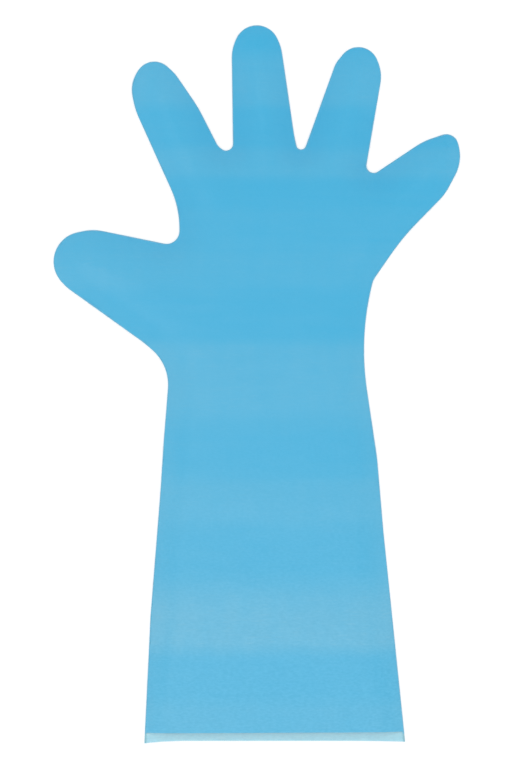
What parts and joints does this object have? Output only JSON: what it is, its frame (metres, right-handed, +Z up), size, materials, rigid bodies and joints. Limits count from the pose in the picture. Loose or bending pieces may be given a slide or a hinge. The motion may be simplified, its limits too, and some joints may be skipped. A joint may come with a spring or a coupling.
{
  "type": "disposable plastic glove",
  "caption": "Sleeve-length disposable plastic glove of two thin blue films welded round their outline, lying flat with the hand spread and the cuff open.",
  "frame": {"origin": "middle of the footprint, on the surface that the glove lies on", "axes": "+Y from the cuff to the fingertips, -X towards the thumb, +Z up from the surface"},
  "size_m": [0.252, 0.4444, 0.0113],
  "materials": {
    "film": "thin see-through blue polyethylene film with a fine embossed grain",
    "weld": "fused double film, a little darker and denser than the film"
  },
  "bodies": {
    "root": {"upper_film": "film", "lower_film": "film", "weld_seam": "weld"}
  },
  "joints": []
}
